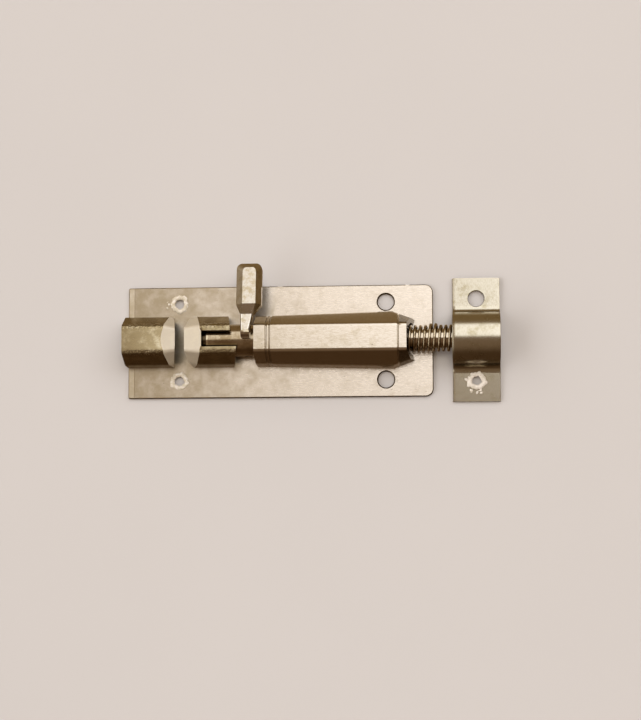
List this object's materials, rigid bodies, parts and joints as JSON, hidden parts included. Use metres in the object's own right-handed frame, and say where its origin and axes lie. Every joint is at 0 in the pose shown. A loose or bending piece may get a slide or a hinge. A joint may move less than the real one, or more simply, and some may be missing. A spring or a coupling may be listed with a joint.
{
  "type": "door bolt",
  "caption": "Surface door bolt: plate with pressed hoods, a sprung round bolt with a turning lever, and a separate strap keeper.",
  "frame": {"origin": "middle of the backplate's four screw holes, on its back face", "axes": "+X along the bolt towards the keeper, +Z out of the door"},
  "size_m": [0.0973, 0.0355, 0.0136],
  "materials": {
    "plate_nickel": "bright nickel, warm tint",
    "hood_nickel": "bright nickel, warm tint",
    "rod_nickel": "bright nickel, warm tint",
    "spring_wire": "bright nickel, warm tint",
    "lever_nickel": "bright nickel, warm tint",
    "keeper_nickel": "bright nickel, warm tint",
    "bush_brass": "turned"
  },
  "bodies": {
    "root": {"backplate": "plate_nickel", "tail_guide": "hood_nickel", "slotted_guide": "hood_nickel", "barrel": "hood_nickel", "spring_seat_bush": "bush_brass", "compression_spring": "spring_wire", "keeper": "keeper_nickel"},
    "washer": {"thrust_washer": "rod_nickel"},
    "bolt": {"bolt_rod": "rod_nickel", "bolt_tip": "rod_nickel", "lever_handle": "lever_nickel", "lever_pin": "rod_nickel"}
  },
  "joints": [
    {"name": "bolt_slide", "type": "slide", "parent": "root", "child": "washer", "axis": [1, 0, 0], "range_m": [-0.0103, 0], "stiffness_N_per_m": 300, "springref_m": 0.01, "deforming": ["compression_spring"]},
    {"name": "lever_turn", "type": "hinge", "parent": "washer", "child": "bolt", "pos_m": [0, 0, 0.00545], "axis": [1, 0, 0], "range_deg": [0, 17]}
  ]
}
